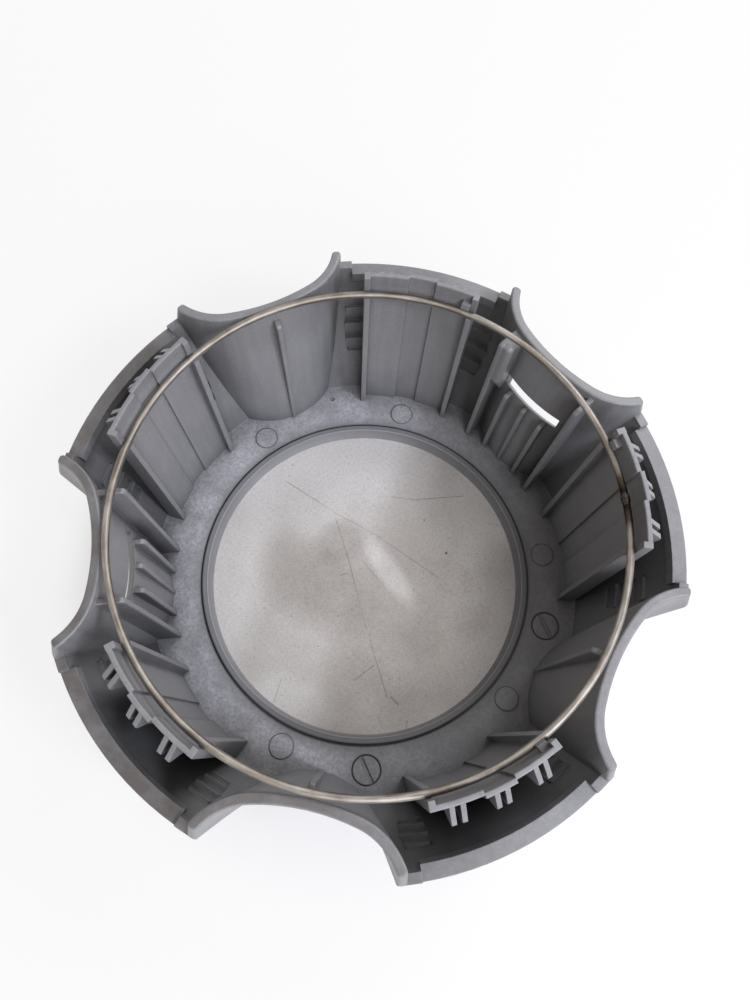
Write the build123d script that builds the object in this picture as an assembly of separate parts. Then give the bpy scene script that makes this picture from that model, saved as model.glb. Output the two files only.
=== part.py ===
from build123d import *
import os
from math import asin, cos, degrees, radians, sin, tan

# Wheel centre cap, lying on its front with the open back upwards.
# Lengths in mm. The axis is Z, and the front bezel rests on z = 0.

# Layout around the axis
LOBES = 5
FIRST_SCALLOP = -24.3
SLOTTED_SCALLOPS = (1, 3)
PADDED_RIB_SCALLOP = 1

# Front: plate, bezel and the collar round the opening
PLATE_THICKNESS = 2.4
BEZEL_HEIGHT = 2.05
BEZEL_WALL = 1.8
FRONT_BAND = 27.9
COLLAR_WIDTH = 1.5
COLLAR_HEIGHT = 0.8
COLLAR_TAPER = 0.8
GROOVE_WIDTH = 0.6
GROOVE_DEPTH = 0.5
FRONT_EDGE_RADIUS = 4.0
SMALL_EDGE = 0.4

# Medallion: a flat disc let into the bezel from the front
MEDALLION_THICKNESS = 0.8
MEDALLION_INSET = 0.4
MEDALLION_SEAT = 1.5
MEDALLION_CLEARANCE = 0.2

# Skirt: the flared wall of the lobes, with a lip inside its rim and raised stops at the rim's ends
RIM_RADIUS = 70.0
RIM_DROP = 13.9
SKIRT_FLARE = 10.0
SKIRT_WALL = 2.0
LIP_WIDTH = 1.1
LIP_HEIGHT = 2.2
LIP_HALF_ANGLE = 15.8
STOP_HEIGHT = 1.0

# Scallops: the inward bulges that clear the wheel nuts
SCALLOP_DROP = 5.4
SCALLOP_WALL = 2.1
SCALLOP_TOP_INSET = 12.6
SCALLOP_TOP_RADIUS = 46.0
SCALLOP_EAR_RADIUS = 13.1
SCALLOP_FOOT_INSET = 16.0
SCALLOP_FOOT_RADIUS = 17.3
SCALLOP_MIDDLE_ANGLE = 12.9
SCALLOP_EAR_ANGLE = 65.0
EAR_SETBACK = 2.7
EAR_STEP = 0.3
EAR_EDGE = 0.8
SCALLOP_TOP_EDGE = 0.5

# Retaining ring: a butt-welded hoop of round spring wire
RING_INSET = 15.8
WIRE_DIAMETER = 1.6
RING_DROP = 4.6
WELD_DIAMETER = 2.3
WELD_LENGTH = 2.8
WELD_EDGE = 0.2
WELD_ANGLE = 10.4

# Towers: the clip walls inside the lobes that carry the ring
TOWER_HEIGHT = 60.3
TOWER_HALF_ANGLE = 13.0
TOWER_RING_GAP = 1.0
TOWER_DRAFT = 1.3
TOWER_WALL = 1.1
MIDDLE_HALF_ANGLE = 3.2
MIDDLE_STEP = 0.6
TOWER_RIB_THICKNESS = 1.3
TOWER_RIB_REACH = 1.35
LEDGE_CLEARANCE = 0.1
NOTCH_CLEARANCE = 0.2
TOWER_EDGE = 0.3

# Fins on the towers' backs, in pairs, and the tabs that keep the ring down
FIN_REACH = 3.5
FIN_THICKNESS = 1.0
FIN_SPACING = 2.1
FIN_PAIR_ANGLE = 8.5
FIN_TOP_DROP = 0.5
FIN_TIP_DROP = 4.6
FIN_TIP_HEIGHT = 1.4
FIN_HEIGHT = 13.0
TAB_ENDS = {0: 1, 1: -1, 4: 1}
TAB_WIDTH = 2.0
TAB_HEIGHT = 1.5
TAB_CLEARANCE = 0.2

# Ribs on the inside of the scallops
RIB_THICKNESS = 1.35
RIB_EDGE = 0.4
RIB_CORNER = 1.2
RIB_FOOT_REACH = 2.6
RIB_LEAN = 0.8
CENTRE_RIB_DROP = 3.9
FLANK_RIB_OFFSET = 11.7
FLANK_RIB_DROP = 1.5
SHORT_RIBS = 3
SHORT_RIB_SPACING = 5.8
PAD_THICKNESS = 3.6
PAD_HEIGHT = 22.0
PAD_SLANT = 7.0
PAD_EDGE = 1.2

# Pry slots through two of the scallops
SLOT_WIDTH = 17.2
SLOT_HEIGHT = 4.0
SLOT_BOTTOM = 35.1
SLOT_SLANT = 52.0

# Marks left by the mould
PIN_DIAMETER = 6.2
PIN_MARK_HEIGHT = 0.2
PIN_OFFSET = 7.6
PIN_ANGLES = (131.5, 83.5, 12.3, -36.3, -109.7)
INSERT_DIAMETER = 7.7
INSERT_GROOVE = 0.45
INSERT_SLOT_WIDTH = 1.1
INSERT_OFFSET = 8.6
INSERT_TURNS = {-84.0: 31.0, -10.6: 28.0}
DIMPLE_DIAMETER = 1.3
DIMPLE_OFFSET = 12.2
DIMPLE_ANGLE = 106.5
WALL_PIN_ANGLE = 15.0
WALL_PIN_HEIGHT = 19.0
WALL_PIN_STEPS = 3
WALL_PIN_RISE = 5.4

# How far pieces sink into what they join, and cutting shapes run past what they cut
OVERLAP = 0.5
TRIM_MARGIN = 1.0
OVERRUN = 20.0

# Derived heights
MEDALLION_BACK = MEDALLION_INSET + MEDALLION_THICKNESS
PLATE_BOTTOM = BEZEL_HEIGHT
FLOOR = PLATE_BOTTOM + PLATE_THICKNESS
COLLAR_TOP = FLOOR + COLLAR_HEIGHT
RIM_HEIGHT = TOWER_HEIGHT - RIM_DROP
SCALLOP_HEIGHT = TOWER_HEIGHT - SCALLOP_DROP
CENTRE_RIB_HEIGHT = SCALLOP_HEIGHT - CENTRE_RIB_DROP
EAR_START = STOP_HEIGHT + EAR_STEP
RING_HEIGHT = TOWER_HEIGHT - RING_DROP
WIRE_RADIUS = WIRE_DIAMETER / 2
LEDGE = RING_HEIGHT - WIRE_RADIUS - LEDGE_CLEARANCE
ROOT = FLOOR - OVERLAP

# Derived radii, all from the rim inwards
OPENING_RADIUS = RIM_RADIUS - FRONT_BAND
SCALLOP_TOP_DEPTH = RIM_RADIUS - SCALLOP_TOP_INSET
SCALLOP_FOOT_DEPTH = RIM_RADIUS - SCALLOP_FOOT_INSET
RING_RADIUS = RIM_RADIUS - RING_INSET
RIB_FOOT_RADIUS = RING_RADIUS - RIB_FOOT_REACH
PIN_CIRCLE_RADIUS = OPENING_RADIUS + PIN_OFFSET
INSERT_CIRCLE_RADIUS = OPENING_RADIUS + INSERT_OFFSET
DIMPLE_CIRCLE_RADIUS = OPENING_RADIUS + DIMPLE_OFFSET
REACH = RIM_RADIUS + OVERRUN
COLLAR_INNER = OPENING_RADIUS + COLLAR_TAPER
COLLAR_OUTER = COLLAR_INNER + COLLAR_WIDTH
MEDALLION_RADIUS = OPENING_RADIUS + MEDALLION_SEAT
POCKET_RADIUS = MEDALLION_RADIUS + MEDALLION_CLEARANCE
BEZEL_RADIUS = POCKET_RADIUS + BEZEL_WALL
SKIRT_SLOPE = SKIRT_FLARE / (RIM_HEIGHT - FLOOR)
TOWER_INNER_TOP = RING_RADIUS + WIRE_RADIUS + TOWER_RING_GAP
TOWER_INNER_FOOT = TOWER_INNER_TOP - TOWER_DRAFT
TOWER_OUTER = TOWER_INNER_TOP + TOWER_WALL
TOWER_RIB_FOOT = RING_RADIUS - TOWER_RIB_REACH
TOWER_RIB_LEDGE = RING_RADIUS - WIRE_RADIUS
NOTCH_RADIUS = RING_RADIUS + WIRE_RADIUS + NOTCH_CLEARANCE

PITCH = 360 / LOBES
SCALLOP_ANGLES = [FIRST_SCALLOP + PITCH * k for k in range(LOBES)]
LOBE_ANGLES = [angle + PITCH / 2 for angle in SCALLOP_ANGLES]


def skirt_inside(z):
    """Radius of the skirt's inner face at a height."""
    return RIM_RADIUS - SKIRT_WALL - SKIRT_SLOPE * (RIM_HEIGHT - z)


def skirt_outside(z):
    """Radius of the skirt's outer face at a height."""
    return skirt_inside(z) + SKIRT_WALL


def section(points):
    """A closed face from radius and height pairs, on the half-plane through +X."""
    return make_face(Plane.XZ * Polyline(*points, close=True))


def rounded(face, corner, radius):
    """The section with one of its corners rounded."""
    at = Vector(corner[0], 0, corner[1])
    vertex = face.vertices().sort_by(lambda v: (Vector(v) - at).length)[0]
    return fillet(vertex, radius)


def sector(points, start, end):
    """A section turned about the axis from one angle to another."""
    return Rot(0, 0, start) * revolve(section(points), Axis.Z, end - start)


def plate_at(points, thickness, angle, offset=0.0):
    """A flat rib: a section made thick, shifted sideways and turned to an angle."""
    slab = extrude(section(points), thickness / 2, both=True)
    return Rot(0, 0, angle) * Pos(0, offset, 0) * slab


def peg(radius, bottom, top, distance, angle):
    """An upright cylinder between two heights, at a polar place."""
    post = Cylinder(radius, top - bottom, align=(Align.CENTER, Align.CENTER, Align.MIN))
    return Rot(0, 0, angle) * Pos(distance, 0, bottom) * post


def scallop_sizes(z, grow):
    """Deepest radius, middle arc and ear arc of a scallop at a height, grown by a wall."""
    share = (z - PLATE_BOTTOM) / (SCALLOP_HEIGHT - PLATE_BOTTOM)
    deep = SCALLOP_FOOT_DEPTH + share * (SCALLOP_TOP_DEPTH - SCALLOP_FOOT_DEPTH) - grow
    middle = SCALLOP_FOOT_RADIUS + share * (SCALLOP_TOP_RADIUS - SCALLOP_FOOT_RADIUS) + grow
    ear = SCALLOP_FOOT_RADIUS + share * (SCALLOP_EAR_RADIUS - SCALLOP_FOOT_RADIUS) + grow
    return deep, middle, ear


def scallop_outline(z, grow):
    """The space of one scallop at a height, as a face around +X, grown by a wall."""
    deep, middle, ear = scallop_sizes(z, grow)
    turn = radians(SCALLOP_MIDDLE_ANGLE)
    end = radians(SCALLOP_EAR_ANGLE)
    joint = (deep + middle * (1 - cos(turn)), middle * sin(turn))
    centre = (joint[0] + ear * cos(turn), joint[1] - ear * sin(turn))
    half = (turn + end) / 2
    bend = (centre[0] - ear * cos(half), centre[1] + ear * sin(half))
    tip = (centre[0] - ear * cos(end), centre[1] + ear * sin(end))
    far = (REACH, tip[1] + (REACH - tip[0]) * cos(end) / sin(end))

    def mirrored(point):
        return (point[0], -point[1])

    edges = [
        Line(far, tip),
        ThreePointArc(tip, bend, joint),
        ThreePointArc(joint, (deep, 0), mirrored(joint)),
        ThreePointArc(mirrored(joint), mirrored(bend), mirrored(tip)),
        Line(mirrored(tip), mirrored(far)),
        Line(mirrored(far), far),
    ]
    return Pos(0, 0, z) * make_face(edges)


def scallop_space(grow):
    """One scallop's space from below the plate to above the walls."""
    low = PLATE_BOTTOM - TRIM_MARGIN
    high = SCALLOP_HEIGHT + TRIM_MARGIN
    return loft([scallop_outline(low, grow), scallop_outline(high, grow)], ruled=True)


def base_section():
    """Section of the plate, bezel, collar and skirt."""
    corner = (skirt_outside(PLATE_BOTTOM), PLATE_BOTTOM)
    bezel_foot = (BEZEL_RADIUS, 0)
    face = section([
        (POCKET_RADIUS, 0),
        bezel_foot,
        (BEZEL_RADIUS, PLATE_BOTTOM),
        corner,
        (RIM_RADIUS, RIM_HEIGHT),
        (RIM_RADIUS - SKIRT_WALL, RIM_HEIGHT),
        (skirt_inside(FLOOR), FLOOR),
        (COLLAR_OUTER + GROOVE_WIDTH, FLOOR),
        (COLLAR_OUTER + GROOVE_WIDTH, FLOOR - GROOVE_DEPTH),
        (COLLAR_OUTER, FLOOR - GROOVE_DEPTH),
        (COLLAR_OUTER, COLLAR_TOP),
        (COLLAR_INNER, COLLAR_TOP),
        (OPENING_RADIUS, MEDALLION_BACK),
        (POCKET_RADIUS, MEDALLION_BACK),
    ])
    face = rounded(face, corner, FRONT_EDGE_RADIUS)
    return rounded(face, bezel_foot, SMALL_EDGE)


def envelope():
    """Everything inside the skirt's outer face, with the ears set back above the rim."""
    corner = (skirt_outside(PLATE_BOTTOM), PLATE_BOTTOM)
    face = section([
        (0, PLATE_BOTTOM),
        corner,
        (RIM_RADIUS, RIM_HEIGHT),
        (RIM_RADIUS, RIM_HEIGHT + EAR_START),
        (RIM_RADIUS - EAR_SETBACK, SCALLOP_HEIGHT),
        (0, SCALLOP_HEIGHT),
    ])
    return revolve(rounded(face, corner, FRONT_EDGE_RADIUS), Axis.Z)


def rim_lip():
    """The lip inside one lobe's rim, stopping short of the ears."""
    points = [
        (RIM_RADIUS - SKIRT_WALL - LIP_WIDTH, RIM_HEIGHT),
        (RIM_RADIUS - SKIRT_WALL / 2, RIM_HEIGHT),
        (skirt_inside(RIM_HEIGHT - LIP_HEIGHT) + SKIRT_WALL / 2, RIM_HEIGHT - LIP_HEIGHT),
        (skirt_inside(RIM_HEIGHT - LIP_HEIGHT) - LIP_WIDTH, RIM_HEIGHT - LIP_HEIGHT),
    ]
    return sector(points, -LIP_HALF_ANGLE, LIP_HALF_ANGLE)


def rim_stop(side):
    """The raised end of one lobe's rim, from the lip to the middle of the next scallop's wall."""
    points = [
        (RIM_RADIUS - SKIRT_WALL, RIM_HEIGHT),
        (RIM_RADIUS, RIM_HEIGHT),
        (RIM_RADIUS, RIM_HEIGHT + STOP_HEIGHT),
        (RIM_RADIUS - SKIRT_WALL, RIM_HEIGHT + STOP_HEIGHT),
    ]
    ends = sorted((side * LIP_HALF_ANGLE, side * PITCH / 2))
    return sector(points, *ends) - Rot(0, 0, side * PITCH / 2) * scallop_space(SCALLOP_WALL / 2)


def tower():
    """One clip tower around +X: stepped wall, end ribs with notches, and fins."""
    wall = [
        (TOWER_INNER_FOOT, ROOT),
        (TOWER_OUTER, ROOT),
        (TOWER_OUTER, TOWER_HEIGHT),
        (TOWER_INNER_TOP, TOWER_HEIGHT),
    ]
    middle = [(r + MIDDLE_STEP, z) for r, z in wall]
    rib = [
        (TOWER_RIB_FOOT, ROOT),
        (TOWER_OUTER, ROOT),
        (TOWER_OUTER, TOWER_HEIGHT),
        (NOTCH_RADIUS, TOWER_HEIGHT),
        (NOTCH_RADIUS, LEDGE),
        (TOWER_RIB_LEDGE, LEDGE),
    ]
    panels = [
        sector(wall, -TOWER_HALF_ANGLE, -MIDDLE_HALF_ANGLE),
        sector(wall, MIDDLE_HALF_ANGLE, TOWER_HALF_ANGLE),
        sector(middle, -MIDDLE_HALF_ANGLE, MIDDLE_HALF_ANGLE),
    ]
    pieces = []
    for panel in panels:
        top = panel.edges().group_by(Axis.Z)[-1].filter_by(GeomType.CIRCLE)
        pieces.append(fillet(top, TOWER_EDGE))
    for side in (-1, 1):
        pieces.append(plate_at(rib, TOWER_RIB_THICKNESS, side * TOWER_HALF_ANGLE))
    for pair in (-1, 0, 1):
        back = TOWER_OUTER + (MIDDLE_STEP if pair == 0 else 0)
        fin = [
            (back - TOWER_WALL / 2, TOWER_HEIGHT - FIN_TOP_DROP),
            (back, TOWER_HEIGHT - FIN_TOP_DROP),
            (TOWER_OUTER + FIN_REACH, TOWER_HEIGHT - FIN_TIP_DROP),
            (TOWER_OUTER + FIN_REACH, TOWER_HEIGHT - FIN_TIP_DROP - FIN_TIP_HEIGHT),
            (back, TOWER_HEIGHT - FIN_HEIGHT),
            (back - TOWER_WALL / 2, TOWER_HEIGHT - FIN_HEIGHT),
        ]
        for side in (-1, 1):
            pieces.append(plate_at(fin, FIN_THICKNESS, pair * FIN_PAIR_ANGLE, side * FIN_SPACING / 2))
    return pieces


def tab(side):
    """A tab over the ring, beside one end rib of a tower around +X."""
    low = RING_HEIGHT + WIRE_RADIUS + TAB_CLEARANCE
    points = [
        (RING_RADIUS, low),
        (TOWER_INNER_TOP + TOWER_WALL / 2, low),
        (TOWER_INNER_TOP + TOWER_WALL / 2, low + TAB_HEIGHT),
        (RING_RADIUS + WIRE_RADIUS / 2, low + TAB_HEIGHT),
    ]
    inset = (TOWER_RIB_THICKNESS + TAB_WIDTH) / 2
    return plate_at(points, TAB_WIDTH, side * TOWER_HALF_ANGLE, -side * inset)


def rib_edge(z, offset):
    """How far out a scallop rib's inner edge stands at a height."""
    share = (z - ROOT) / (SCALLOP_HEIGHT - ROOT)
    across = RIB_FOOT_RADIUS + RIB_LEAN * share
    return (across ** 2 - offset ** 2) ** 0.5


def eased_slab(face, thickness, offset, edge):
    """A rib from its section, with the edges of its two sides rounded."""
    slab = extrude(face, thickness / 2, both=True)
    sides = slab.edges().filter_by(Axis.Y, reverse=True)
    low = slab.bounding_box().min.Z
    kept = sides.filter_by(lambda e: e.center().X < REACH - OVERLAP and e.center().Z > low + OVERLAP)
    return Pos(0, offset, 0) * fillet(kept, edge)


def scallop_rib(top, offset):
    """An upright rib from inside the scallop's wall to a straight inner edge."""
    corner = (rib_edge(top, offset), top)
    face = section([(rib_edge(ROOT, offset), ROOT), (REACH, ROOT), (REACH, top), corner])
    return eased_slab(rounded(face, corner, RIB_CORNER), RIB_THICKNESS, offset, RIB_EDGE)


def rib_pad(top, offset):
    """A thick rounded pad along the upper part of a flank rib, with a slanted foot."""
    low = top - PAD_HEIGHT
    corner = (rib_edge(top, offset), top)
    knee = low + PAD_SLANT
    face = section([
        (rib_edge(low, offset) + PAD_SLANT / 2, low),
        (REACH, low),
        (REACH, top),
        corner,
        (rib_edge(knee, offset), knee),
    ])
    return eased_slab(rounded(face, corner, RIB_CORNER), PAD_THICKNESS, offset, PAD_EDGE)


def scallop_ribs(index):
    """The ribs of one scallop around +X, before its wall trims them."""
    if index not in SLOTTED_SCALLOPS:
        return [scallop_rib(CENTRE_RIB_HEIGHT, 0)]
    flank_top = LEDGE - FLANK_RIB_DROP
    ribs = [scallop_rib(flank_top, side * FLANK_RIB_OFFSET) for side in (-1, 1)]
    for n in range(SHORT_RIBS):
        ribs.append(scallop_rib(SLOT_BOTTOM, (n - (SHORT_RIBS - 1) / 2) * SHORT_RIB_SPACING))
    if index == PADDED_RIB_SCALLOP:
        ribs.append(rib_pad(flank_top, FLANK_RIB_OFFSET + (RIB_THICKNESS - PAD_THICKNESS) / 2))
    return ribs


def wall_pin_steps(inside):
    """The steps that one lobe's mould pins leave on the skirt: what stands proud, and what is sunk."""
    middle = skirt_inside(WALL_PIN_HEIGHT + WALL_PIN_STEPS * WALL_PIN_RISE / 2)
    proud = []
    sunk = []
    for step in range(WALL_PIN_STEPS):
        low = WALL_PIN_HEIGHT + step * WALL_PIN_RISE
        high = low + WALL_PIN_RISE
        core = peg(skirt_inside((low + high) / 2), low, high, 0, 0)
        for side in (-1, 1):
            pin = peg(PIN_DIAMETER / 2, low, high, middle, side * WALL_PIN_ANGLE)
            proud.append((pin - core) & inside)
            sunk.append(pin & core)
    return proud, sunk


def floor_pads():
    """Low discs that the mould's plain pins leave on the floor."""
    top = FLOOR + PIN_MARK_HEIGHT
    return [peg(PIN_DIAMETER / 2, ROOT, top, PIN_CIRCLE_RADIUS, angle) for angle in PIN_ANGLES]


def floor_marks():
    """Shallow marks on the floor: slotted inserts and a dimple."""
    marks = []
    for angle, turn in INSERT_TURNS.items():
        outer = Cylinder(INSERT_DIAMETER / 2, 2 * INSERT_GROOVE)
        inner = Cylinder(INSERT_DIAMETER / 2 - INSERT_GROOVE, 2 * INSERT_GROOVE)
        slot = Box(INSERT_SLOT_WIDTH, INSERT_DIAMETER - 2 * INSERT_GROOVE, 2 * INSERT_GROOVE)
        place = Rot(0, 0, angle) * Pos(INSERT_CIRCLE_RADIUS, 0, FLOOR)
        marks.append(place * (outer - inner))
        marks.append(place * Rot(0, 0, turn - angle) * slot)
    marks.append(peg(DIMPLE_DIAMETER / 2, ROOT, COLLAR_TOP, DIMPLE_CIRCLE_RADIUS, DIMPLE_ANGLE))
    return marks


def scallop_wall(inside):
    """One scallop's wall around +X, with rounded ears and top."""
    wall = (scallop_space(SCALLOP_WALL) - scallop_space(0)) & inside
    leaning = wall.edges().filter_by(lambda e: e.bounding_box().min.Z > RIM_HEIGHT + EAR_START / 2)
    ears = leaning.filter_by(lambda e: e.bounding_box().size.Z > EAR_START)
    wall = fillet(ears, EAR_EDGE)
    return fillet(wall.faces().sort_by(Axis.Z)[-1].edges(), SCALLOP_TOP_EDGE)


def pry_slot():
    """The space of a pry slot around +X, following the wall's curve and rising inwards."""
    deep, middle, _ = scallop_sizes(SLOT_BOTTOM + SLOT_HEIGHT / 2, SCALLOP_WALL)
    margin = SCALLOP_WALL / 2
    slope = tan(radians(SLOT_SLANT))
    points = []
    for run in (margin, -SCALLOP_WALL - margin):
        points.append((middle + run, SLOT_BOTTOM + run * slope))
    for run in (-SCALLOP_WALL - margin, margin):
        points.append((middle + run, SLOT_BOTTOM + run * slope + SLOT_HEIGHT))
    half = degrees(asin(SLOT_WIDTH / 2 / middle))
    return Pos(deep + middle, 0, 0) * sector(points, 180 - half, 180 + half)


def cap_body():
    """The moulded cap: base, scallop walls, ribs, towers, slots and mould marks."""
    inside = envelope()
    middle_space = scallop_space(SCALLOP_WALL / 2)
    wall = scallop_wall(inside)
    clip = tower()
    rim = [rim_lip(), rim_stop(-1), rim_stop(1)]
    proud, sunk = wall_pin_steps(inside)

    body = revolve(base_section(), Axis.Z)
    body -= [Rot(0, 0, angle) * middle_space for angle in SCALLOP_ANGLES]
    body += [Rot(0, 0, angle) * wall for angle in SCALLOP_ANGLES]
    for index, angle in enumerate(SCALLOP_ANGLES):
        body += [Rot(0, 0, angle) * ((rib - middle_space) & inside) for rib in scallop_ribs(index)]
    for angle in LOBE_ANGLES:
        body += [Rot(0, 0, angle) * piece for piece in clip + proud + rim]
    body += [Rot(0, 0, LOBE_ANGLES[lobe]) * tab(side) for lobe, side in TAB_ENDS.items()]

    body += floor_pads()

    body -= [Rot(0, 0, SCALLOP_ANGLES[index]) * pry_slot() for index in SLOTTED_SCALLOPS]
    for angle in LOBE_ANGLES:
        body -= [Rot(0, 0, angle) * mark for mark in sunk]
    body -= floor_marks()
    return body


def retaining_ring():
    """The wire hoop, with the swollen weld where its ends meet."""
    hoop = Pos(0, 0, RING_HEIGHT) * Torus(RING_RADIUS, WIRE_RADIUS)
    bead = Rot(90, 0, 0) * Cylinder(WELD_DIAMETER / 2, WELD_LENGTH)
    bead = fillet(bead.edges().filter_by(GeomType.CIRCLE), WELD_EDGE)
    return hoop + Rot(0, 0, WELD_ANGLE) * Pos(RING_RADIUS, 0, RING_HEIGHT) * bead


def medallion():
    """The plain disc in the bezel, with its edges eased."""
    low = MEDALLION_INSET
    disc = Pos(0, 0, low) * Cylinder(
        MEDALLION_RADIUS, MEDALLION_THICKNESS, align=(Align.CENTER, Align.CENTER, Align.MIN))
    return chamfer(disc.edges().group_by(Axis.Z)[0], MEDALLION_THICKNESS / 4)


os.makedirs("parts", exist_ok=True)
export_step(cap_body(), "parts/cap_body.step")
export_step(retaining_ring(), "parts/retaining_ring.step")
export_step(medallion(), "parts/medallion.step")
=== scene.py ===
# %% [markdown]
# # A wheel centre cap, lying on its front
#
# The cap is a moulded plastic cup that snaps into the middle of a road wheel. We look into
# its open back: five lobes, five scallops that clear the wheel nuts, a wire ring that keeps
# the clip towers sprung outwards, and the back of a flat aluminium disc that fills the front.
# The solids come from the CAD frame, in metres. Here they get their finishes, a smooth wire
# ring, a wavy disc, a studio and a camera.

# %% Load the frame
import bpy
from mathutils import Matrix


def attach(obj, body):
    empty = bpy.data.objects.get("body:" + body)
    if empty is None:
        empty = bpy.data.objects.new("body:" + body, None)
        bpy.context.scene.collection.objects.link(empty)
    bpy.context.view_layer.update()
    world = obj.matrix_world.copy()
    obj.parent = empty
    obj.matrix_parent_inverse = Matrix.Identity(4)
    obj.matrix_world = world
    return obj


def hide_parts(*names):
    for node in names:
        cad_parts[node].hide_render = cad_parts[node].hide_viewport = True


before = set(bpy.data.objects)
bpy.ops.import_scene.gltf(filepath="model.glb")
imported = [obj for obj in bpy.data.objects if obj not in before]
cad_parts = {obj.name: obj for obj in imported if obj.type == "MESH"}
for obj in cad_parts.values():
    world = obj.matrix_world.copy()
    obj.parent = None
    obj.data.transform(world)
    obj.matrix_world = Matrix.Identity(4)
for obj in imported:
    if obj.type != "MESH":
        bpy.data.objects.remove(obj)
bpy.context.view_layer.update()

print("CAD nodes:", sorted(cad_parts))

# %% [markdown]
# ## Units, colours and nodes
#
# Sizes are easier to judge in millimetres, so `MM` turns them into Blender's metres.
# Colours are picked as sRGB hex values, as on a colour card, but shaders work on linear
# light, so one function converts them. Another adds a node with its settings and links, and
# hands back the output that the next node needs.

# %% Units, colours and nodes
from math import cos, pi, radians, sin

import bmesh
import bpy
from mathutils import Matrix, Vector, noise

MM = 0.001
scene = bpy.context.scene


def linear(hex_colour):
    """A colour-card value such as #7d8083 as linear red, green, blue and alpha."""
    parts = [int(hex_colour[i:i + 2], 16) / 255 for i in (1, 3, 5)]
    return [p / 12.92 if p <= 0.04045 else ((p + 0.055) / 1.055) ** 2.4 for p in parts] + [1.0]


def add(tree, kind, sockets=None, out=0, stops=(), **settings):
    """Adds a node and gives one of its outputs. Sockets get values or links, a ramp its stops."""
    node = tree.nodes.new(kind)
    for name, value in settings.items():
        setattr(node, name, value)
    for socket, value in (sockets or {}).items():
        if isinstance(value, bpy.types.NodeSocket):
            tree.links.new(value, node.inputs[socket])
        else:
            node.inputs[socket].default_value = value
    while stops and len(node.color_ramp.elements) < len(stops):
        node.color_ramp.elements.new(1.0)
    for n, (place, colour) in enumerate(stops):
        node.color_ramp.elements[n].position = place
        node.color_ramp.elements[n].color = linear(colour)
    return node.outputs[out]


def per_mm(size):
    """The scale of a texture whose features are about this many millimetres wide."""
    return 1 / (size * MM)


print("a mid grey, #808080, is", round(linear("#808080")[0], 3), "in linear light")

# %% [markdown]
# ## The camera
#
# The photograph was taken by hand from above the near side, tilted and slightly rolled.
# The numbers come from fitting circles of the cap to it. The camera could be placed by eye,
# but a fitted one puts every edge where the picture has it, so differences that are left
# are differences of the model.

# %% Camera
VIEW_TILT = 0.3345
VIEW_ROLL = -0.1035
VIEW_TARGET = Vector((0.43, 22.76, 1.2)) * MM
VIEW_DISTANCE = 207.46 * MM
FOCAL_PIXELS = 715.04
PHOTO_HEIGHT = 1000
NEAREST_SEEN = 5

forward = Vector((0, sin(VIEW_TILT), -cos(VIEW_TILT)))
sideways = Vector((1, 0, 0))
downwards = forward.cross(sideways)
image_x = cos(VIEW_ROLL) * sideways + sin(VIEW_ROLL) * downwards
image_y = sin(VIEW_ROLL) * sideways - cos(VIEW_ROLL) * downwards

lens = bpy.data.cameras.new("camera")
lens.sensor_width = 36
lens.lens = FOCAL_PIXELS * lens.sensor_width / PHOTO_HEIGHT
lens.clip_start = NEAREST_SEEN * MM
camera = bpy.data.objects.new("camera", lens)
camera.matrix_world = Matrix((image_x, image_y, -forward)).transposed().to_4x4()
camera.location = VIEW_TARGET - forward * VIEW_DISTANCE
scene.collection.objects.link(camera)
scene.camera = camera
print("camera at", [round(x, 3) for x in camera.location], "with a", round(lens.lens, 1), "mm lens")

# %% [markdown]
# ## The plastic: its grey
#
# The cap is injection-moulded from a grey engineering plastic, a stiff polyphenylene-ether
# and nylon blend. Its mould was spark-eroded, which leaves a fine satin grain, and the melt
# leaves faint clouds of lighter and darker grey. The walls slid out of the mould along Z,
# so they carry soft streaks that way. A flat colour would look like primer, so the grey is
# the product of three noises.

# %% Moulded plastic: clouds, streaks and grain
CLOUD_SIZE = 16
STREAK_SIZE = 1.6
STREAK_STRETCH = 0.06
GRAIN_SIZE = 0.45       # real grain is about 0.1 mm; drawn coarser to show


def new_material(name):
    """An empty node material, its node tree and its main shader."""
    material = bpy.data.materials.new(name)
    material.use_nodes = True
    return material, material.node_tree, material.node_tree.nodes["Principled BSDF"]


# Gives the eye a satin grey that is never quite even, with soft highlights on curved walls.
cap_plastic, tree, shader = new_material("moulded_ppe_nylon_plastic")
spot = add(tree, "ShaderNodeTexCoord", out="Object")
clouds = add(tree, "ShaderNodeTexNoise",
             {"Vector": spot, "Scale": per_mm(CLOUD_SIZE), "Detail": 5.0, "Roughness": 0.6})
drawn = add(tree, "ShaderNodeMapping", {"Vector": spot, "Scale": (1, 1, STREAK_STRETCH)})
streaks = add(tree, "ShaderNodeTexNoise", {"Vector": drawn, "Scale": per_mm(STREAK_SIZE), "Detail": 3.0})
grain = add(tree, "ShaderNodeTexNoise",
            {"Vector": spot, "Scale": per_mm(GRAIN_SIZE), "Detail": 2.0, "Roughness": 0.6})
grey = add(tree, "ShaderNodeValToRGB", {"Fac": clouds}, stops=[(0.3, "#8a8b8d"), (0.7, "#97989a")])
for pattern, dip in ((streaks, "#f0f0f0"), (grain, "#eeeeef")):
    shade = add(tree, "ShaderNodeValToRGB", {"Fac": pattern}, stops=[(0.3, dip), (0.65, "#ffffff")])
    grey = add(tree, "ShaderNodeMix", {0: 1.0, 6: grey, 7: shade}, out=2,
               data_type="RGBA", blend_type="MULTIPLY")
print("the grey so far takes", len(tree.nodes), "nodes")
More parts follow.
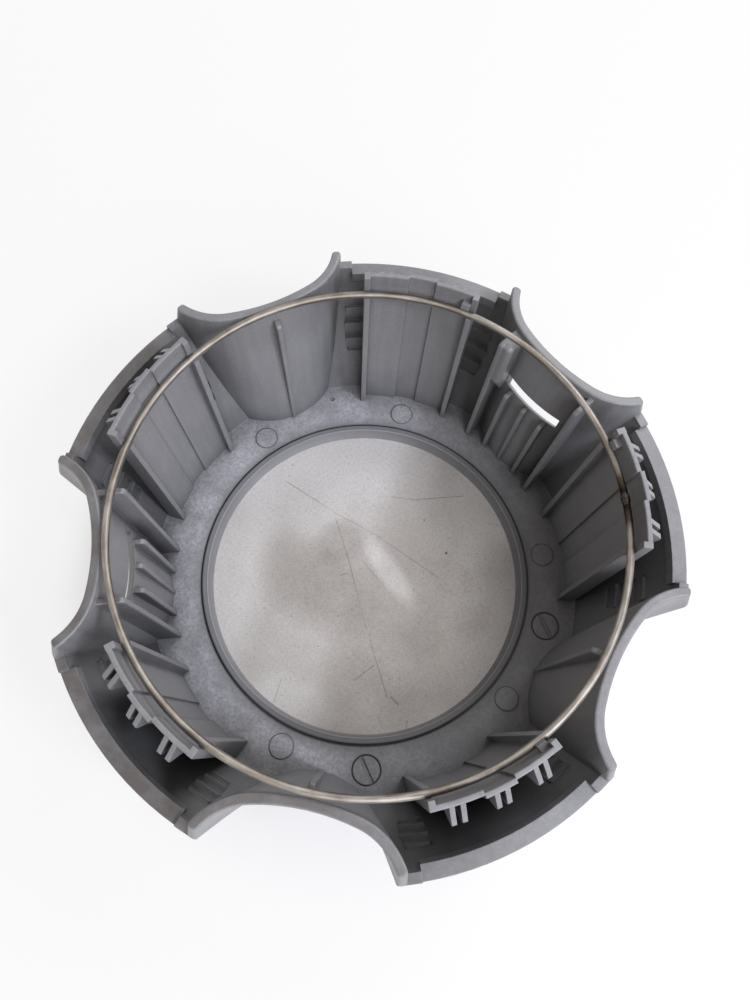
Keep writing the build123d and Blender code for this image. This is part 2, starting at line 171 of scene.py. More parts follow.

# %% [markdown]
# ## The plastic: bloom on the floor
#
# The floor of the cup has a pale, powdery bloom in patches. Towards the left the bloom is made
# stronger, and that part is painted light: the left of the floor is lit, the right lies in shade.
# It could be painted by hand on an unwrapped mesh, but the floor is flat and round, so a height, a
# direction and a radius find the same places without any unwrapping.

# %% Moulded plastic: bloom, and painted light on the left
FLOOR_TOP = 5.15
FLOOR_FADE = 0.9
COLLAR_EDGE = 45.3
COLLAR_FADE = 2.5
PAINTED_LIGHT_RIGHT = 45
PAINTED_LIGHT_LEFT = -10
PATCH_SIZE = 9
POWDER_SIZE = 0.8

level = add(tree, "ShaderNodeVectorMath", {0: spot, 1: (1, 1, 0)}, operation="MULTIPLY")
radius = add(tree, "ShaderNodeVectorMath", {0: level}, out="Value", operation="LENGTH")
facing = add(tree, "ShaderNodeNewGeometry", out="Normal")
height = add(tree, "ShaderNodeSeparateXYZ", {0: spot}, out="Z")
upright = add(tree, "ShaderNodeSeparateXYZ", {0: facing}, out="Z")
low = add(tree, "ShaderNodeMapRange",
          {"Value": height, "From Min": (FLOOR_TOP + FLOOR_FADE) * MM, "From Max": FLOOR_TOP * MM})
flat = add(tree, "ShaderNodeMapRange", {"Value": upright, "From Min": 0.8, "From Max": 0.97})
# painted light: the bloom grows towards the left, where the floor is lit, and fades where the right lies in
# shade
painted_light_leftward = add(tree, "ShaderNodeMapRange",
               {"Value": add(tree, "ShaderNodeSeparateXYZ", {0: spot}, out="X"),
                "From Min": PAINTED_LIGHT_RIGHT * MM, "From Max": PAINTED_LIGHT_LEFT * MM, "To Min": 0.3})
beyond_collar = add(tree, "ShaderNodeMapRange",
                    {"Value": radius, "From Min": COLLAR_EDGE * MM,
                     "From Max": (COLLAR_EDGE + COLLAR_FADE) * MM, "To Min": 0.3})
patches = add(tree, "ShaderNodeTexNoise",
              {"Vector": level, "Scale": per_mm(PATCH_SIZE), "Detail": 4.0, "Roughness": 0.6})
patchy = add(tree, "ShaderNodeMapRange",
             {"Value": patches, "From Min": 0.35, "From Max": 0.6, "To Min": 0.4})
powder = add(tree, "ShaderNodeTexNoise",
             {"Vector": spot, "Scale": per_mm(POWDER_SIZE), "Detail": 5.0, "Roughness": 0.75})
bloom_and_painted_light = add(tree, "ShaderNodeMapRange", {"Value": powder, "From Min": 0.4, "From Max": 0.6, "To Min": 0.35})
for mask in (patchy, low, flat, painted_light_leftward, beyond_collar):
    bloom_and_painted_light = add(tree, "ShaderNodeMath", {0: bloom_and_painted_light, 1: mask}, operation="MULTIPLY")
grey = add(tree, "ShaderNodeMix", {0: bloom_and_painted_light, 6: grey, 7: linear("#c9cad0")}, out=2, data_type="RGBA")
print("with the bloom it takes", len(tree.nodes), "nodes")

# %% [markdown]
# ## The plastic: painted shade and a painted highlight
#
# Painted shade darkens the groove round the opening, the thin gaps round the marks of the
# mould's pins, and the pockets deep behind the towers, where shade falls. The first two are bands
# at a known distance from a centre, kept off the faces that look down, so the front stays plain.
# For the pockets, the Ambient Occlusion node tells how closed in a spot is, and the grey is
# darkened there. The collar inside the groove is a darker grey, with a painted highlight along
# its inner edge.

# %% Moulded plastic: painted shade and a painted highlight
# painted shade: the dark grey laid into the groove and the gaps round the pin marks
PAINTED_SHADE = "#3b3b3c"
PIN_MARKS = [           # circle, radius and gap in mm, and the angles in degrees
    (49.7, 3.1, 0.3, (131.5, 83.5, 12.3, -36.3, -109.7)),
    (50.7, 3.62, 0.4, (-84.0, -10.6)),
]
BANDS = [               # distance, its value in the band's middle, the width, and the colour
    (radius, 44.6, 1.0, PAINTED_SHADE),
    (radius, 43.2, 1.8, "#77787b"),
    # painted highlight: a thin pale line along the collar's inner edge
    (radius, 43.0, 0.16, "#c0c0c4"),
]
BAND_FULL = 0.25        # a band is full to this share of its width from its middle,
BAND_ENDS = 0.75        # and has faded out at this one
POCKET_REACH = 14
RAYS = 4                # for each look round a spot

for circle, edge, gap, angles in PIN_MARKS:
    nearest = 1.0
    for angle in angles:
        centre = Matrix.Rotation(radians(angle), 3, "Z") @ Vector((circle * MM, 0, 0))
        away = add(tree, "ShaderNodeVectorMath", {0: level, 1: centre}, out="Value", operation="DISTANCE")
        nearest = add(tree, "ShaderNodeMath", {0: away, 1: nearest}, operation="MINIMUM")
    BANDS.append((nearest, edge, gap, PAINTED_SHADE))
inside = add(tree, "ShaderNodeMapRange", {"Value": upright, "From Min": -0.6, "From Max": -0.4})
# the bands: painted shade in the groove and the pin gaps, a darker grey on the collar, and a painted
# highlight along its inner edge
for distance, middle, width, colour in BANDS:
    aside = add(tree, "ShaderNodeMath", {0: distance, 1: middle * MM}, operation="SUBTRACT")
    aside = add(tree, "ShaderNodeMath", {0: aside}, operation="ABSOLUTE")
    band = add(tree, "ShaderNodeMapRange", {"Value": aside, "From Min": BAND_ENDS * width * MM,
                                            "From Max": BAND_FULL * width * MM, "To Max": 0.85})
    for mask in (low, inside):
        band = add(tree, "ShaderNodeMath", {0: band, 1: mask}, operation="MULTIPLY")
    grey = add(tree, "ShaderNodeMix", {0: band, 6: grey, 7: linear(colour)}, out=2, data_type="RGBA")
# painted shade: the grey is darkened to near black where a spot is closed in, as in the pockets behind the
# towers
openness = add(tree, "ShaderNodeAmbientOcclusion", {"Distance": POCKET_REACH * MM}, out="AO",
               samples=RAYS, only_local=True)
closed_in = add(tree, "ShaderNodeMapRange",
                {"Value": openness, "From Min": 0.72, "From Max": 0.12, "To Max": 0.85},
                interpolation_type="SMOOTHSTEP")
grey = add(tree, "ShaderNodeMix", {0: closed_in, 6: grey, 7: linear("#2c2b2a")}, out=2, data_type="RGBA")
# the bands and the pockets above are painted shade and a painted highlight
print(len(BANDS), "bands of grime and shine, and grime in the pockets")

# %% [markdown]
# ## The plastic: painted shade on the rims
#
# The tops of the rims are browner and darker, most of all on the left and at the front. That is
# painted shade, laid on in mottled patches. The tops are found by their height and by facing
# upwards, and a direction says where the shade is deepest.

# %% Moulded plastic: painted shade on the rims
RIM_SHADE_HEIGHT = 50.5
RIM_SHADE_REACH = 6.5
RIM_SHADE_FADE = 1
RIM_SHADE_SIDE = (-0.75, -0.66, 0)
RIM_SHADE_STARTS = 5
RIM_SHADE_FULL = 50
RIM_SHADE_SIZE = 6

rise = add(tree, "ShaderNodeMath", {0: height, 1: RIM_SHADE_HEIGHT * MM}, operation="SUBTRACT")
rise = add(tree, "ShaderNodeMath", {0: rise}, operation="ABSOLUTE")
on_rim = add(tree, "ShaderNodeMapRange", {"Value": rise, "From Min": (RIM_SHADE_REACH + RIM_SHADE_FADE) * MM,
                                          "From Max": RIM_SHADE_REACH * MM})
sided = add(tree, "ShaderNodeVectorMath", {0: spot, 1: RIM_SHADE_SIDE}, out="Value", operation="DOT_PRODUCT")
sided = add(tree, "ShaderNodeMapRange",
            {"Value": sided, "From Min": RIM_SHADE_STARTS * MM, "From Max": RIM_SHADE_FULL * MM,
             "To Min": 0.08, "To Max": 0.85})
rim_shade_mottle = add(tree, "ShaderNodeTexNoise",
             {"Vector": spot, "Scale": per_mm(RIM_SHADE_SIZE), "Detail": 5.0, "Roughness": 0.65})
rim_shade = add(tree, "ShaderNodeMapRange", {"Value": rim_shade_mottle, "From Min": 0.35, "From Max": 0.6, "To Min": 0.5})
for mask in (on_rim, flat, sided):
    rim_shade = add(tree, "ShaderNodeMath", {0: rim_shade, 1: mask}, operation="MULTIPLY")
# painted shade: a brownish dark grey on the rim tops, deepest towards the front left
grey = add(tree, "ShaderNodeMix", {0: rim_shade, 6: grey, 7: linear("#57514c")}, out=2, data_type="RGBA")
# prints the direction in which the painted shade on the rims is deepest
print("dirt on the rims, thickest towards", RIM_SHADE_SIDE)

# %% [markdown]
# ## The plastic: edges and gloss
#
# The mould's corners are rounded by a fraction of a millimetre, too little to model on every
# rib. The Bevel node rounds the light on them instead. Where its normal turns away from the
# face's own, there is an edge, and that edge is painted paler: partly rubbed by handling, partly
# a painted highlight.

# %% Moulded plastic: edges and gloss
EDGE_RADIUS = 0.3
GRAIN_DEPTH = 0.05
PLASTIC_IOR = 1.53

edges = add(tree, "ShaderNodeBevel", {"Radius": EDGE_RADIUS * MM}, samples=RAYS)
turned = add(tree, "ShaderNodeVectorMath", {0: edges, 1: facing}, out="Value", operation="DOT_PRODUCT")
# paler edges: partly wear, partly a painted highlight
worn_and_highlit_edges = add(tree, "ShaderNodeMapRange", {"Value": turned, "From Min": 0.99, "From Max": 0.8, "To Max": 0.42})
grey = add(tree, "ShaderNodeMix", {0: worn_and_highlit_edges, 6: grey, 7: linear("#b9bbbf")}, out=2, data_type="RGBA")
satin = add(tree, "ShaderNodeMapRange",
            {"Value": streaks, "From Min": 0.3, "From Max": 0.7, "To Min": 0.38, "To Max": 0.48})
satin = add(tree, "ShaderNodeMath", {0: bloom_and_painted_light, 1: 0.15, 2: satin}, operation="MULTIPLY_ADD")
bumps = add(tree, "ShaderNodeBump",
            {"Height": grain, "Strength": 0.2, "Distance": GRAIN_DEPTH * MM, "Normal": edges})
tree.links.new(grey, shader.inputs["Base Color"])
tree.links.new(satin, shader.inputs["Roughness"])
tree.links.new(bumps, shader.inputs["Normal"])
shader.inputs["IOR"].default_value = PLASTIC_IOR
print(cap_plastic.name, "has", len(tree.nodes), "nodes")

# %% [markdown]
# ## The moulded cap
#
# The CAD node already has every rib, tower and rounded corner, and its mesh carries the exact
# normals of the curved walls. A rebuilt copy would lose those, so the node itself stays and
# only its material slot changes.

# %% The cap's finish
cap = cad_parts["cap_body"]
for slot in cap.material_slots:
    slot.material = cap_plastic
print("cap_body has", len(cap.data.polygons), "faces in", cap.material_slots[0].material.name)

# %% [markdown]
# ## The wire
#
# The ring is drawn spring steel, butt-welded into a hoop. Drawing leaves fine lines along
# the wire, and handling leaves it a warm, slightly brown grey. Near the weld the heat has
# burnt it almost black. The lines follow the ring, so the texture is laid along the angle
# round the axis: the arctangent of y and x, times the radius, is a length along the wire.

# %% Drawn spring steel: lines and stains
RING_RADIUS = 54.2
LINE_LENGTH = 6
LINE_WIDTH = 0.25
STAIN_SIZE = 9

# Gives the eye a warm grey wire, with a soft bright line along its top.
wire_steel, tree, shader = new_material("drawn_spring_steel")
spot = add(tree, "ShaderNodeTexCoord", out="Object")
x, y, z = [add(tree, "ShaderNodeSeparateXYZ", {0: spot}, out=axis) for axis in "XYZ"]
turn = add(tree, "ShaderNodeMath", {0: y, 1: x}, operation="ARCTAN2")
along = add(tree, "ShaderNodeMath", {0: turn, 1: RING_RADIUS / LINE_LENGTH}, operation="MULTIPLY")
out_from_axis = add(tree, "ShaderNodeVectorMath", {0: spot}, out="Value", operation="LENGTH")
across = add(tree, "ShaderNodeMath", {0: out_from_axis, 1: per_mm(LINE_WIDTH)}, operation="MULTIPLY")
upwards = add(tree, "ShaderNodeMath", {0: z, 1: per_mm(LINE_WIDTH)}, operation="MULTIPLY")
wire_spot = add(tree, "ShaderNodeCombineXYZ", {0: along, 1: across, 2: upwards})
lines = add(tree, "ShaderNodeTexNoise", {"Vector": wire_spot, "Scale": 1.0, "Detail": 4.0})
stains = add(tree, "ShaderNodeTexNoise",
             {"Vector": spot, "Scale": per_mm(STAIN_SIZE), "Detail": 4.0, "Roughness": 0.65})
print("drawing lines", LINE_WIDTH, "mm wide and", LINE_LENGTH, "mm long")

# %% Drawn spring steel: burnt near the weld
WELD_ANGLE = 10.4
BURNT_LENGTH = 3.4
TINTED_LENGTH = 9.0
RAGGED = 2.2
LINE_DEPTH = 0.02

from_weld = add(tree, "ShaderNodeMath", {0: turn, 1: radians(WELD_ANGLE)}, operation="SUBTRACT")
from_weld = add(tree, "ShaderNodeMath", {0: from_weld}, operation="ABSOLUTE")
ragged = add(tree, "ShaderNodeMath", {0: stains, 1: RAGGED / RING_RADIUS, 2: from_weld},
             operation="MULTIPLY_ADD")
heat = add(tree, "ShaderNodeMapRange", {"Value": ragged, "From Min": BURNT_LENGTH / RING_RADIUS,
                                        "From Max": TINTED_LENGTH / RING_RADIUS})
steel = add(tree, "ShaderNodeValToRGB", {"Fac": lines},
            stops=[(0.3, "#7d7771"), (0.52, "#9a948d"), (0.75, "#b4afa9")])
for factor, stops in ((stains, [(0.35, "#d2ccc6"), (0.62, "#ffffff")]),
                      (heat, [(0.0, "#463e38"), (0.45, "#8f8277"), (1.0, "#ffffff")])):
    tint = add(tree, "ShaderNodeValToRGB", {"Fac": factor}, stops=stops)
    steel = add(tree, "ShaderNodeMix", {0: 1.0, 6: steel, 7: tint}, out=2,
                data_type="RGBA", blend_type="MULTIPLY")
dulled = add(tree, "ShaderNodeMapRange",
             {"Value": lines, "From Min": 0.3, "From Max": 0.7, "To Min": 0.42, "To Max": 0.56})
ridges = add(tree, "ShaderNodeBump", {"Height": lines, "Strength": 0.25, "Distance": LINE_DEPTH * MM})
tree.links.new(steel, shader.inputs["Base Color"])
tree.links.new(dulled, shader.inputs["Roughness"])
tree.links.new(ridges, shader.inputs["Normal"])
shader.inputs["Metallic"].default_value = 1.0
print(wire_steel.name, "has", len(tree.nodes), "nodes")

# %% [markdown]
# ## The retaining ring
#
# A hoop of round wire could be a torus, but a circle spun round the axis gives the same
# shape with the faces running along the wire. Many steps keep it round in any view.

# %% Wire hoop
WIRE_DIAMETER = 1.6
RING_HEIGHT = 55.7
HOOP_STEPS = 240
WIRE_SIDES = 20
SHARP_TURN = radians(40)
MERGE_DISTANCE = 0.001 * MM


def spin_round(bm, geometry, steps):
    """Spins a section once round the Z axis and closes the seam."""
    bmesh.ops.spin(bm, geom=geometry, cent=(0, 0, 0), axis=(0, 0, 1),
                   angle=2 * pi, steps=steps, use_merge=True)
    bmesh.ops.remove_doubles(bm, verts=bm.verts, dist=MERGE_DISTANCE)
    bmesh.ops.recalc_face_normals(bm, faces=bm.faces)


def as_piece(bm, name, material):
    """Turns a bmesh into a piece of the cap, with its finish."""
    mesh = bpy.data.meshes.new(name)
    bm.to_mesh(mesh)
    bm.free()
    mesh.materials.append(material)
    mesh.shade_smooth()
    mesh.set_sharp_from_angle(angle=SHARP_TURN)
    piece = bpy.data.objects.new(name, mesh)
    scene.collection.objects.link(piece)
    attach(piece, "root")
    print(name, "has", len(mesh.vertices), "points and", len(mesh.polygons), "faces")
    return piece


bm = bmesh.new()
on_ring = Matrix.Translation(Vector((RING_RADIUS, 0, RING_HEIGHT)) * MM)
bmesh.ops.create_circle(bm, segments=WIRE_SIDES, radius=WIRE_DIAMETER / 2 * MM,
                        matrix=on_ring @ Matrix.Rotation(pi / 2, 4, "X"))
spin_round(bm, bm.verts[:] + bm.edges[:], HOOP_STEPS)
ring = as_piece(bm, "wire_ring", wire_steel)
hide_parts("retaining_ring")

# %% [markdown]
# ## The weld
#
# Where the wire's ends were pushed together, hot metal swelled into a small lump with a
# scaly skin. A ball is the start: it is stretched along the wire, made uneven by noise that
# has no random draws, and set into the hoop, so that its ends run out into the wire.

# %% Weld bead
WELD_DIAMETER = 2.2
WELD_LENGTH = 4.4
SCALE_SIZE = 0.35
WELD_CORE = 0.93        # the ball is shrunk to this share, so that its lumps stay near the diameter
LUMPS = ((1.1, 0.07), (0.5, 0.035))     # size in mm, and height as a share of the radius
PIT_DEPTH = 0.08

# Gives the eye a dark, scaly lump with a few bright flakes.
weld_scale, tree, shader = new_material("burnt_weld_scale")
spot = add(tree, "ShaderNodeTexCoord", out="Object")
flakes = add(tree, "ShaderNodeTexNoise",
             {"Vector": spot, "Scale": per_mm(SCALE_SIZE), "Detail": 4.0, "Roughness": 0.7})
skin = add(tree, "ShaderNodeValToRGB", {"Fac": flakes},
           stops=[(0.35, "#1f1c1a"), (0.55, "#3f3833"), (0.72, "#8a7c70")])
pits = add(tree, "ShaderNodeBump", {"Height": flakes, "Strength": 0.6, "Distance": PIT_DEPTH * MM})
tree.links.new(skin, shader.inputs["Base Color"])
tree.links.new(pits, shader.inputs["Normal"])
shader.inputs["Metallic"].default_value = 0.85
shader.inputs["Roughness"].default_value = 0.38

bm = bmesh.new()
bmesh.ops.create_icosphere(bm, subdivisions=4, radius=WELD_DIAMETER / 2 * MM)
for vertex in bm.verts:
    vertex.co *= WELD_CORE + sum(height * noise.noise(vertex.co * per_mm(size)) for size, height in LUMPS)
bmesh.ops.scale(bm, vec=(1, WELD_LENGTH / WELD_DIAMETER, 1), verts=bm.verts)
bmesh.ops.transform(bm, matrix=Matrix.Rotation(radians(WELD_ANGLE), 4, "Z") @ on_ring, verts=bm.verts)
as_piece(bm, "weld_bead", weld_scale)

# %% [markdown]
# ## The aluminium: tone and grain
#
# The disc is mill-finish aluminium sheet. Rolling and wiping leave a fine crossed grain, and
# the bare metal has dulled unevenly. In the photograph one side of it is paler, with pale and
# dark patches, probably from light that comes past the towers and through a slot. A lamp could
# cast those, and they would then follow the light. Here they are drawn into the finish: a step
# in tone from side to side, and a few soft ovals, each with a place, two half-widths and a turn.

# %% Mill-finish aluminium: tone
OXIDE_SIZE = 18
PALE_SIDE = (-0.98, 0.196, 0)
PALE_REACH = 6
LIT_PATCHES = [               # middle and half-widths in mm, turn in degrees, how much paler
    ((6.3, 2.2), (12.5, 3.8), -50, 0.28),
    ((-12, -4), (19, 12), -30, -0.25),
    ((-8, 9), (8, 7), 20, -0.18),
    ((-12, 52), (45, 40), 0, 0.38),
    ((32, 24), (13, 18), 0, 0.25),
    ((-40, 0), (14, 45), 0, 0.2),
    ((-18, -38), (14, 10), 0, 0.2),
]

# Gives the eye a pale, dull metal: soft broad patches, no mirror.
disc_aluminium, tree, shader = new_material("mill_finish_aluminium")
spot = add(tree, "ShaderNodeTexCoord", out="Object")
level = add(tree, "ShaderNodeVectorMath", {0: spot, 1: (1, 1, 0)}, operation="MULTIPLY")
oxide = add(tree, "ShaderNodeTexNoise",
            {"Vector": spot, "Scale": per_mm(OXIDE_SIZE), "Detail": 4.0, "Roughness": 0.55})
# painted light and painted shadow: the side towards the light is paler, the other side darker
pale = add(tree, "ShaderNodeVectorMath", {0: spot, 1: PALE_SIDE}, out="Value", operation="DOT_PRODUCT")
tone = add(tree, "ShaderNodeMapRange",
           {"Value": pale, "From Min": -PALE_REACH * MM, "From Max": PALE_REACH * MM,
            "To Min": 0.27, "To Max": 0.5}, interpolation_type="SMOOTHSTEP")
tone = add(tree, "ShaderNodeMath", {0: oxide, 1: 0.3, 2: tone}, operation="MULTIPLY_ADD")
# painted light and painted shadow: pale and dark ovals where light comes through a slot and past the towers
for (middle_x, middle_y), (half_x, half_y), turn, paler in LIT_PATCHES:
    local = add(tree, "ShaderNodeMapping",
                {"Vector": level, "Location": (middle_x * MM, middle_y * MM, 0),
                 "Rotation": (0, 0, radians(turn)), "Scale": (half_x * MM, half_y * MM, 1)},
                vector_type="TEXTURE")
    reach = add(tree, "ShaderNodeVectorMath", {0: local}, out="Value", operation="LENGTH")
    glow = add(tree, "ShaderNodeMapRange",
               {"Value": reach, "From Min": 0.45, "From Max": 1.2, "To Min": paler, "To Max": 0.0},
               interpolation_type="SMOOTHSTEP")
    tone = add(tree, "ShaderNodeMath", {0: glow, 1: tone}, operation="ADD")
metal = add(tree, "ShaderNodeValToRGB", {"Fac": tone},
            stops=[(0.2, "#9c9690"), (0.6, "#c4c0bc"), (1.0, "#f0eeed")])
print("aluminium with", len(LIT_PATCHES), "soft patches")

# %% Mill-finish aluminium: crossed grain
ROLL_WIDTH = 0.3        # real rolling lines are about 0.1 mm; drawn coarser to show
ROLL_LENGTH = 4         # times the width
ROLL_TURNS = (8, 98)

rolled = 0.0
for turn in ROLL_TURNS:
    turned = add(tree, "ShaderNodeMapping",
                 {"Vector": spot, "Scale": (ROLL_LENGTH, 1, 1), "Rotation": (0, 0, radians(turn))},
                 vector_type="TEXTURE")
    lines = add(tree, "ShaderNodeTexNoise", {"Vector": turned, "Scale": per_mm(ROLL_WIDTH), "Detail": 3.0})
    shade = add(tree, "ShaderNodeValToRGB", {"Fac": lines},
                stops=[(0.27, "#d4d1ce"), (0.34, "#f1f0f0"), (0.68, "#ffffff")])
    metal = add(tree, "ShaderNodeMix", {0: 1.0, 6: metal, 7: shade}, out=2,
                data_type="RGBA", blend_type="MULTIPLY")
    rolled = add(tree, "ShaderNodeMath", {0: lines, 1: rolled}, operation="ADD")
print("grain in", len(ROLL_TURNS), "directions")

# %% [markdown]
# ## The aluminium: scratches and specks
#
# Use has left scratches and a few dark specks. Each scratch is a straight line between two
# points. In the shader, the nearest point of a line is found by clamping: along the line no
# further than its ends, and across it not at all. The distance to that point, counted in
# line widths, says how dark the spot is, and the smallest distance of all marks wins. The
# scratches fade where the oxide is thick.

# %% Mill-finish aluminium: scratches
SCRATCHES = [           # start, end and width in mm
    ((-10.3, 16.0), (-4.8, 3.1), 0.16), ((-4.8, 3.1), (0.8, -12.2), 0.2),
    ((0.8, -12.2), (4.3, -20.7), 0.22), ((4.3, -20.7), (9.0, -31.9), 0.18),
    ((-26.1, 25.8), (-10.5, 17.6), 0.18), ((-10.5, 17.6), (1.0, 12.7), 0.14),
    ((1.0, 12.7), (20.4, 1.7), 0.14), ((2.4, 24.2), (11.9, 24.1), 0.18),
    ((11.9, 24.1), (26.0, 26.8), 0.18), ((0.4, -28.1), (4.6, -24.1), 0.18),
    ((10.0, -31.8), (12.2, -33.5), 0.28), ((7.3, -36.8), (8.1, -39.2), 0.2),
    ((-19.4, -30.0), (-20.6, -36.3), 0.14), ((-16.8, 6.1), (-15.3, 6.2), 0.24),
    ((-7.0, -0.4), (-5.4, 0.2), 0.24), ((-1.3, 4.4), (6.2, -3.2), 0.12),
    ((14.8, -37.4), (14.7, -38.8), 0.24), ((33.7, 19.2), (37.5, 18.9), 0.14),
]
FAR_OFF = 9.0

scratch = FAR_OFF
for start, end, width in SCRATCHES:
    run = Vector(end) - Vector(start)
    turn = -Vector((1, 0)).angle_signed(run)
    local = add(tree, "ShaderNodeMapping",
                {"Vector": level, "Location": (start[0] * MM, start[1] * MM, 0), "Rotation": (0, 0, turn)},
                vector_type="TEXTURE")
    on_line = add(tree, "ShaderNodeVectorMath", {0: local, 1: (0, 0, 0)}, operation="MAXIMUM")
    on_line = add(tree, "ShaderNodeVectorMath", {0: on_line, 1: (run.length * MM, 0, 0)}, operation="MINIMUM")
    away = add(tree, "ShaderNodeVectorMath", {0: local, 1: on_line}, out="Value", operation="DISTANCE")
    widths = add(tree, "ShaderNodeMath", {0: away, 1: width * MM}, operation="DIVIDE")
    scratch = add(tree, "ShaderNodeMath", {0: widths, 1: scratch}, operation="MINIMUM")
scratched = add(tree, "ShaderNodeMapRange", {"Value": scratch, "From Min": 0.2, "From Max": 1.2})
faded = add(tree, "ShaderNodeMapRange", {"Value": oxide, "From Min": 0.42, "From Max": 0.62, "To Max": 0.9})
scratched = add(tree, "ShaderNodeMath", {0: scratched, 1: faded}, operation="MAXIMUM")
print(len(SCRATCHES), "scratches")

# %% Mill-finish aluminium: specks and sheen
ROLL_DEPTH = 0.02
SCRATCH_DEPTH = 0.02
SPECKS = [              # middle and radius in mm
    ((22.1, 9.1), 0.36), ((15.1, 18.2), 0.2), ((-19.1, -13.2), 0.17), ((13.7, -2.4), 0.17),
    ((-10.8, -20.5), 0.17), ((-16.6, -5.1), 0.15), ((20.0, 15.2), 0.14), ((-24.8, 30.9), 0.15),
    ((3.1, -17.5), 0.15), ((-6.2, -11.8), 0.14),
]

speck = FAR_OFF
for (middle_x, middle_y), size in SPECKS:
    away = add(tree, "ShaderNodeVectorMath", {0: level, 1: (middle_x * MM, middle_y * MM, 0)},
               out="Value", operation="DISTANCE")
    widths = add(tree, "ShaderNodeMath", {0: away, 1: size * MM}, operation="DIVIDE")
    speck = add(tree, "ShaderNodeMath", {0: widths, 1: speck}, operation="MINIMUM")
specked = add(tree, "ShaderNodeMapRange", {"Value": speck, "From Min": 0.5, "From Max": 1.3})
for mask, colour in ((scratched, "#d0cdca"), (specked, "#77716b")):
    shade = add(tree, "ShaderNodeValToRGB", {"Fac": mask}, stops=[(0.0, colour), (1.0, "#ffffff")])
    metal = add(tree, "ShaderNodeMix", {0: 1.0, 6: metal, 7: shade}, out=2,
                data_type="RGBA", blend_type="MULTIPLY")
sheen = add(tree, "ShaderNodeMapRange",
            {"Value": oxide, "From Min": 0.3, "From Max": 0.7, "To Min": 0.56, "To Max": 0.44})
roll_bump = add(tree, "ShaderNodeBump", {"Height": rolled, "Strength": 0.12, "Distance": ROLL_DEPTH * MM})
scratch_bump = add(tree, "ShaderNodeBump", {"Height": scratched, "Strength": 0.4,
                                            "Distance": SCRATCH_DEPTH * MM, "Normal": roll_bump})
tree.links.new(metal, shader.inputs["Base Color"])
tree.links.new(sheen, shader.inputs["Roughness"])
tree.links.new(scratch_bump, shader.inputs["Normal"])
shader.inputs["Metallic"].default_value = 0.7
print(disc_aluminium.name, "has", len(tree.nodes), "nodes and", len(SPECKS), "specks")

# %% [markdown]
# ## The disc
#
# Thin sheet is never quite flat: its slow waves bend what it reflects, and that is what
# makes it read as metal. A row of points from the middle over the edge and back is spun into
# a disc, and the face that shows gets waves of about a tenth of a millimetre.

# %% Medallion disc
DISC_RADIUS = 43.6
DISC_BACK = 1.2
DISC_FRONT = 0.4
DISC_EASE = 0.2
DISC_STEPS = 180
RADIAL_STEPS = 36
WAVE_SIZE = 22
WAVE_HEIGHT = 0.1
WAVE_DROP = 0.5         # lowers the waves, so that few rise above the flat rim
FLAT_RIM = 38
WAVE_FADE = 10

profile = [(DISC_RADIUS * n / RADIAL_STEPS, DISC_BACK) for n in range(RADIAL_STEPS + 1)]
profile += [(DISC_RADIUS, DISC_FRONT + DISC_EASE), (DISC_RADIUS - DISC_EASE, DISC_FRONT), (0, DISC_FRONT)]
bm = bmesh.new()
points = [bm.verts.new(Vector((r, 0, z)) * MM) for r, z in profile]
outline = [bm.edges.new(pair) for pair in zip(points, points[1:])]
spin_round(bm, points + outline, DISC_STEPS)
for vertex in bm.verts:
    share = min(1.0, max(0.0, (FLAT_RIM - vertex.co.xy.length / MM) / WAVE_FADE))
    if vertex.co.z > (DISC_BACK - DISC_EASE) * MM:
        wave = noise.noise(vertex.co * per_mm(WAVE_SIZE)) - WAVE_DROP
        vertex.co.z += WAVE_HEIGHT * MM * share * wave
disc = as_piece(bm, "medallion_disc", disc_aluminium)
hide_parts("medallion")

# %% [markdown]
# ## The studio
#
# The key lamp stands on the right, a little to the front, like a small window. It lights the
# left walls and most of the floor of the cup, and leaves the right walls in shade. Two wide,
# weaker lamps and a warm world soften the shadows. Together they give white paper about its
# own brightness, so the finishes render about as they are written. The floor and the world
# look white to the camera and in reflections. Near the cap the floor is partly plain paper,
# so that it keeps the soft shadow; farther off it glows more and runs into the white world.

# %% Floor and world
FLOOR_SIZE = 20.0
FLOOR_GAP = 0.02        # the floor lies this far under the cap, so that no faces coincide
GLOW = [(0.064, "#9f9f9f"), (0.084, "#e7e7e7"), (0.6, "#ffffff")]    # by the distance in metres
FILL = 0.27


def seen_directly(tree):
    """1 for rays from the camera and in reflections, 0 for the light that falls on things."""
    camera_ray, glossy, through = [
        add(tree, "ShaderNodeLightPath", out=ray)
        for ray in ("Is Camera Ray", "Is Glossy Ray", "Is Transmission Ray")]
    mirrored = add(tree, "ShaderNodeMath", {0: camera_ray, 1: glossy}, operation="MAXIMUM")
    return add(tree, "ShaderNodeMath", {0: mirrored, 1: through}, operation="MAXIMUM")


bm = bmesh.new()
bmesh.ops.create_grid(bm, x_segments=2, y_segments=2, size=FLOOR_SIZE / 2,
                      matrix=Matrix.Translation((0, 0, -FLOOR_GAP * MM)))
floor_mesh = bpy.data.meshes.new("floor")
bm.to_mesh(floor_mesh)
bm.free()
floor = bpy.data.objects.new("floor", floor_mesh)
scene.collection.objects.link(floor)

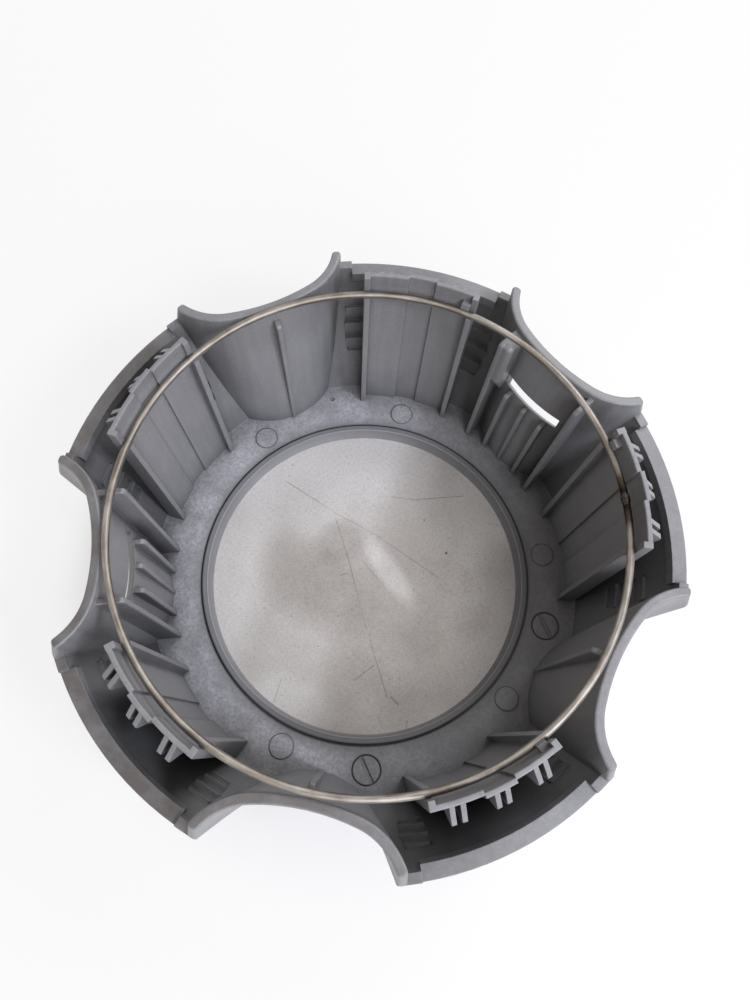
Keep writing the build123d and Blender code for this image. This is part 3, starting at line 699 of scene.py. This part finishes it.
# Gives the eye plain white paper with a faint shadow, and no horizon.
paper, tree, shader = new_material("white_paper_floor")
shader.inputs["Base Color"].default_value = linear("#f4f4f4")
shader.inputs["Roughness"].default_value = 0.9
white = add(tree, "ShaderNodeEmission", {"Color": (1, 1, 1, 1), "Strength": 1.0})
away = add(tree, "ShaderNodeVectorMath", {0: add(tree, "ShaderNodeTexCoord", out="Object")},
           out="Value", operation="LENGTH")
glow = add(tree, "ShaderNodeValToRGB", {"Fac": away}, stops=GLOW)
share = add(tree, "ShaderNodeMath", {0: seen_directly(tree), 1: glow}, operation="MULTIPLY")
mixed = add(tree, "ShaderNodeMixShader", {0: share, 1: shader.outputs[0], 2: white})
tree.links.new(mixed, tree.nodes["Material Output"].inputs["Surface"])
floor_mesh.materials.append(paper)

world = bpy.data.worlds.new("studio")
scene.world = world
world.use_nodes = True
tree = world.node_tree
fill = tree.nodes["Background"]
fill.inputs["Color"].default_value = linear("#fff0e4")
fill.inputs["Strength"].default_value = FILL
backdrop = add(tree, "ShaderNodeBackground", {"Color": (1, 1, 1, 1), "Strength": 1.0})
mixed = add(tree, "ShaderNodeMixShader", {0: seen_directly(tree), 1: fill.outputs[0], 2: backdrop})
tree.links.new(mixed, tree.nodes["World Output"].inputs["Surface"])
print("a", FLOOR_SIZE, "m floor, world fill", FILL)

# %% Lamps
LAMP_DISTANCE = 0.6
LAMPS = [               # name, azimuth and elevation in degrees, width in metres, watts, colour
    ("key", -26, 52, 0.11, 1.65, "#eef1ff"),
    ("front", -66, 44, 0.25, 1.5, "#f6f7ff"),
    ("side", 58, 46, 0.25, 1.15, "#fbfaff"),
]

for name, azimuth, elevation, width, watts, colour in LAMPS:
    light = bpy.data.lights.new(name, "AREA")
    light.size = width
    light.energy = watts
    light.color = linear(colour)[:3]
    around = Matrix.Rotation(radians(azimuth), 3, "Z")
    towards = around @ Vector((cos(radians(elevation)), 0, sin(radians(elevation))))
    lamp = bpy.data.objects.new(name, light)
    lamp.location = towards * LAMP_DISTANCE
    lamp.rotation_euler = towards.to_track_quat("Z", "Y").to_euler()
    scene.collection.objects.link(lamp)
scene.view_settings.view_transform = "Standard"
print(len(LAMPS), "lamps at", LAMP_DISTANCE, "m")
